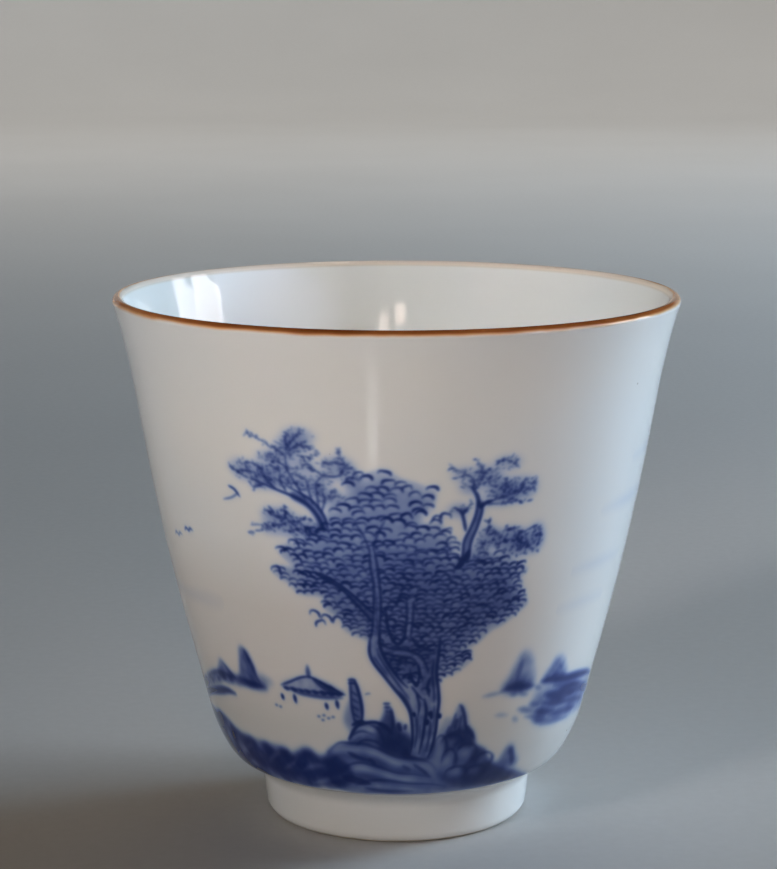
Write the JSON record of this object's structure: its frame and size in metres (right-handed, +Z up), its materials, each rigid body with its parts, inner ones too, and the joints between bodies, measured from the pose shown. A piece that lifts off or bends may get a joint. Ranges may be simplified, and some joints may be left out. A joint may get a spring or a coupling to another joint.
{
  "type": "teacup",
  "caption": "Small porcelain teacup with a flared lip, rounded hip and turned foot ring, glazed white with a blue landscape and a brown lip line.",
  "frame": {"origin": "centre of the foot ring on the plane of the table", "axes": "+Z up along the axis of the cup; the painted tree faces -Y"},
  "size_m": [0.066, 0.066, 0.062],
  "materials": {
    "porcelain_body": "fired white porcelain under the glaze",
    "bare_porcelain": "matt, fine grained, unglazed",
    "clear_glaze": "glossy",
    "iron_brown_glaze": "glossy"
  },
  "bodies": {
    "root": {"bowl": "porcelain_body", "foot_ring": "porcelain_body", "foot_edge": "bare_porcelain", "outer_glaze": "clear_glaze", "inner_glaze": "clear_glaze", "base_glaze": "clear_glaze", "rim_band": "iron_brown_glaze"}
  },
  "joints": []
}
